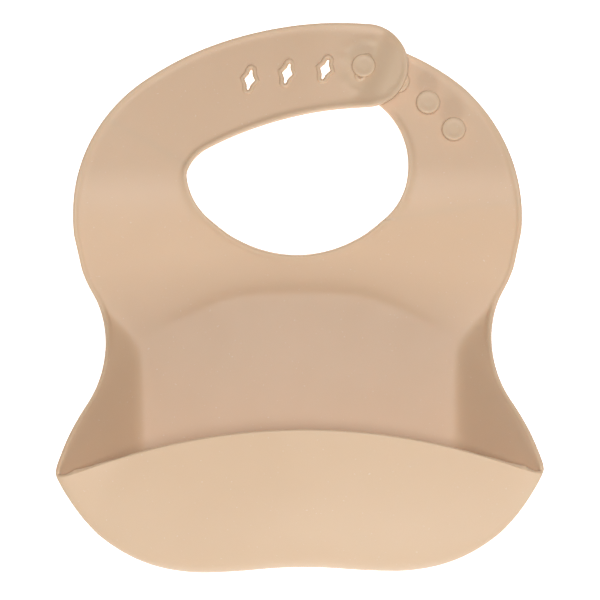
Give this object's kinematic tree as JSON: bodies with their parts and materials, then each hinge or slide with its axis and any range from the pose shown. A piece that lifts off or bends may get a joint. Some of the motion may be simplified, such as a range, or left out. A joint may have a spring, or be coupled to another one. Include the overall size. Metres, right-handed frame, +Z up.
{
  "type": "silicone bib",
  "caption": "Soft bib with a deep catching pocket, a chest panel and a neck ring closed by a buttonhole strap over mushroom studs.",
  "frame": {"origin": "centre of the closed bib's box, on the table under it", "axes": "+Z up from the table the bib lies on, +Y from the pocket to the neck straps, X across the bib"},
  "size_m": [0.2198, 0.2537, 0.043],
  "materials": {
    "silicone": "soft matt silicone, faintly glossy, sand coloured"
  },
  "bodies": {
    "pocket": {"back_wall": "silicone", "front_wall": "silicone", "side_wall_left": "silicone", "side_wall_right": "silicone", "pocket_base": "silicone"},
    "chest": {"chest_panel": "silicone", "shoulder_arm": "silicone"},
    "button_strap": {"button_strap": "silicone"},
    "stud_strap": {"stud_strap": "silicone", "stud_1": "silicone", "stud_2": "silicone", "stud_3": "silicone", "stud_4": "silicone"}
  },
  "joints": [
    {"name": "chest_fold", "type": "hinge", "parent": "pocket", "child": "chest", "pos_m": [0, 0.009, 0.00528], "axis": [1, 0, 0], "range_deg": [0, 120]},
    {"name": "strap_peel", "type": "hinge", "parent": "chest", "child": "button_strap", "pos_m": [-0.04, 0.08595, 0.00905], "axis": [0, -0.9851, 0.1719], "range_deg": [0, 110], "deforming": ["stud_1"]},
    {"name": "stud_strap_flex", "type": "hinge", "parent": "chest", "child": "stud_strap", "pos_m": [0, 0.062, 0.0114], "axis": [-1, 0, 0], "range_deg": [0, 45], "stiffness_Nm_per_rad": 0.1, "deforming": ["stud_1"]}
  ]
}
